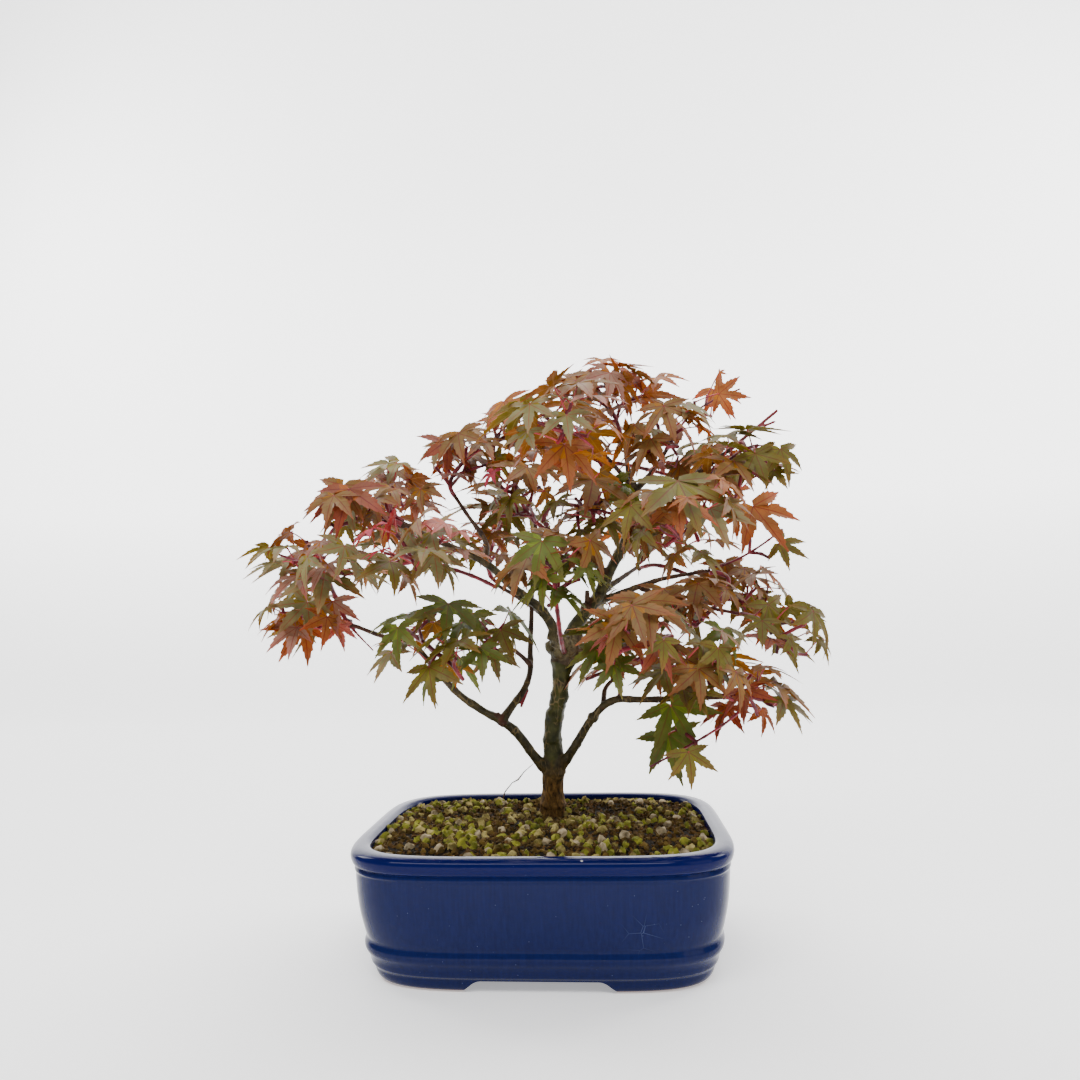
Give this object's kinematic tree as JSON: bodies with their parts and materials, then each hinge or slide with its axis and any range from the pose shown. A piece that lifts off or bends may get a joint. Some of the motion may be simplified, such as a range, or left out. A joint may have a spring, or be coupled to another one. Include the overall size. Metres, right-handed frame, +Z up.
{
  "type": "potted japanese maple bonsai",
  "caption": "Young Japanese maple trained as a bonsai: a forked green trunk, slender boughs and open bronze-green foliage, standing in a blue glazed rectangular pot on low corner feet.",
  "frame": {"origin": "centre of the pot in plan, on the ground under its feet", "axes": "+Z up, X along the long side of the pot, -Y towards the front of the tree"},
  "size_m": [0.3284, 0.1953, 0.3364],
  "materials": {
    "glazed_pot": "glossy cobalt blue glaze with fine pale specks",
    "soil_grains": "matt brown baked clay grains, cream pumice and mossy grains",
    "bark": "thin olive green to brown maple bark",
    "foliage": "thin palmate leaves, olive green to bronze and red, on dark red twigs"
  },
  "bodies": {
    "root": {"bough_back_left": "bark", "bough_back_low": "bark", "bough_back_right": "bark", "bough_back_top": "bark", "bough_far_left": "bark", "bough_inner": "bark", "bough_leader": "bark", "bough_left_front": "bark", "bough_left_low": "bark", "bough_left_mid": "bark", "bough_left_up": "bark", "bough_low_centre": "bark", "bough_mid_right": "bark", "bough_right": "bark", "bough_right_front": "bark", "bough_right_low": "bark", "bough_right_low_up": "bark", "bough_right_outer": "bark", "bough_right_up": "bark", "bough_top_left": "bark", "bough_top_mid": "bark", "bough_top_right": "bark", "bough_upright_left": "bark", "leaves_arch": "foliage", "leaves_arch_top": "foliage", "leaves_back_left": "foliage", "leaves_back_left_far": "foliage", "leaves_back_low": "foliage", "leaves_back_right": "foliage", "leaves_back_right_far": "foliage", "leaves_back_top": "foliage", "leaves_centre_front": "foliage", "leaves_centre_mid": "foliage", "leaves_centre_up": "foliage", "leaves_crest": "foliage", "leaves_far_left_low": "foliage", "leaves_far_left_up": "foliage", "leaves_left_inner": "foliage", "leaves_left_low": "foliage", "leaves_left_peak": "foliage", "leaves_left_shoulder": "foliage", "leaves_low_centre": "foliage", "leaves_low_star": "foliage", "leaves_right_centre": "foliage", "leaves_right_low": "foliage", "leaves_right_low_in": "foliage", "leaves_right_low_outer": "foliage", "leaves_right_mid": "foliage", "leaves_right_mid_outer": "foliage", "leaves_right_up": "foliage", "leaves_right_up_outer": "foliage", "leaves_right_wisp": "foliage", "leaves_sprig": "foliage", "leaves_top_front": "foliage", "leaves_top_right": "foliage", "leaves_trunk_right": "foliage", "pot": "glazed_pot", "soil": "soil_grains", "trunk": "bark"}
  },
  "joints": []
}
